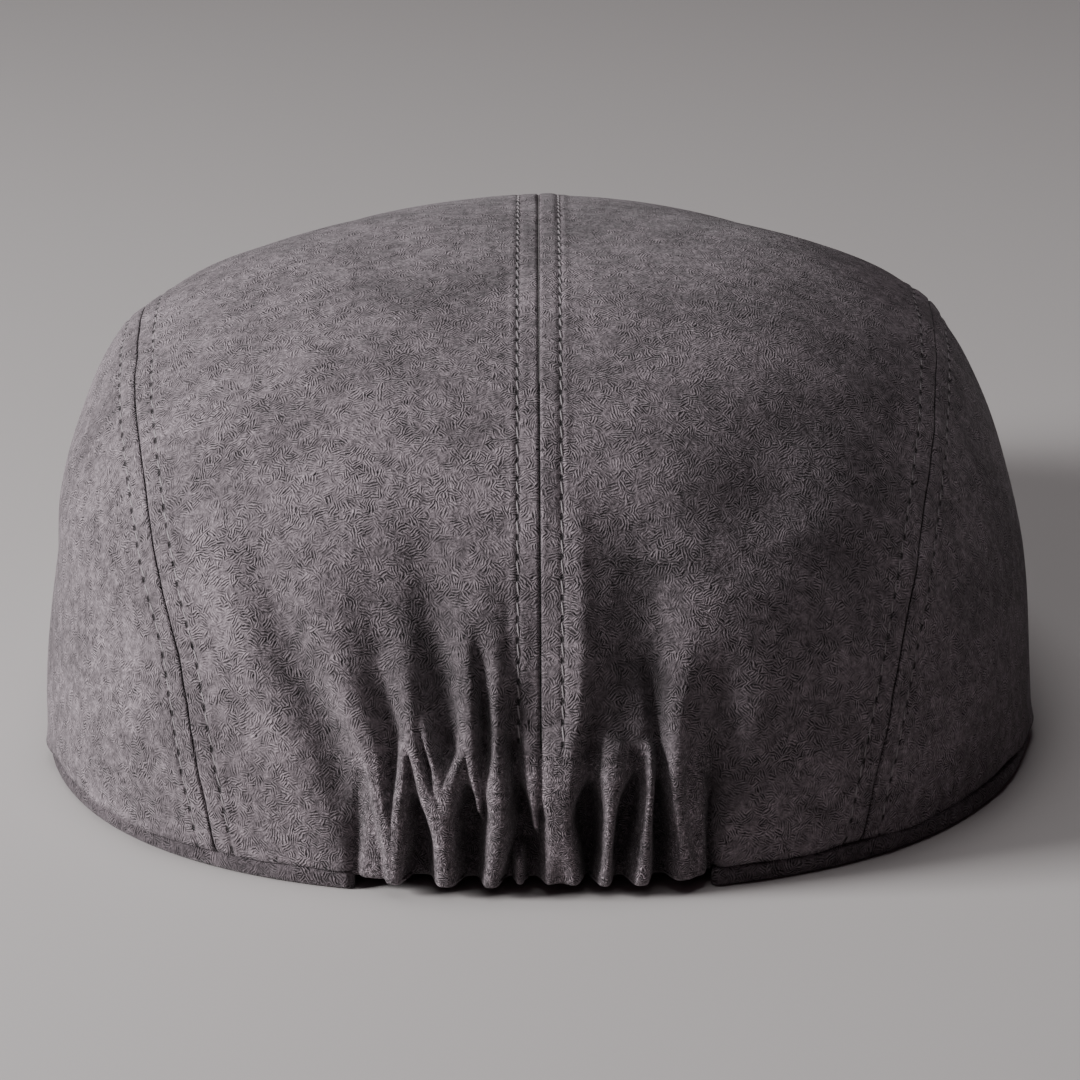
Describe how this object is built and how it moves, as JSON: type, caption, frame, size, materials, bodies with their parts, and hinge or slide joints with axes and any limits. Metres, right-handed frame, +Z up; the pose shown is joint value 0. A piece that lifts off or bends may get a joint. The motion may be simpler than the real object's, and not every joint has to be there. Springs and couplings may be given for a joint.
{
  "type": "flat cap",
  "caption": "Soft flat cap of brushed cloth with sewn crown panels, curved side seams, an elastic gathered back and a short stiff peak.",
  "frame": {"origin": "bottom centre of the cap's box, on the surface that it lies on", "axes": "+Z up, -Y towards the peak, +Y towards the gathered back, +X towards the wearer's left"},
  "size_m": [0.1908, 0.2494, 0.097],
  "materials": {
    "crown_suede": "brushed grey faux suede with a short crackled nap",
    "casing_suede": "the same suede, gathered",
    "band_suede": "the same suede, folded and stitched",
    "peak_suede": "the same suede, drawn tight over a stiff plate"
  },
  "bodies": {
    "root": {"top_panel_left": "crown_suede", "top_panel_right": "crown_suede", "side_panel_left": "crown_suede", "side_panel_right": "crown_suede", "elastic_casing": "casing_suede", "edge_band_left": "band_suede", "edge_band_right": "band_suede", "peak": "peak_suede"}
  },
  "joints": []
}
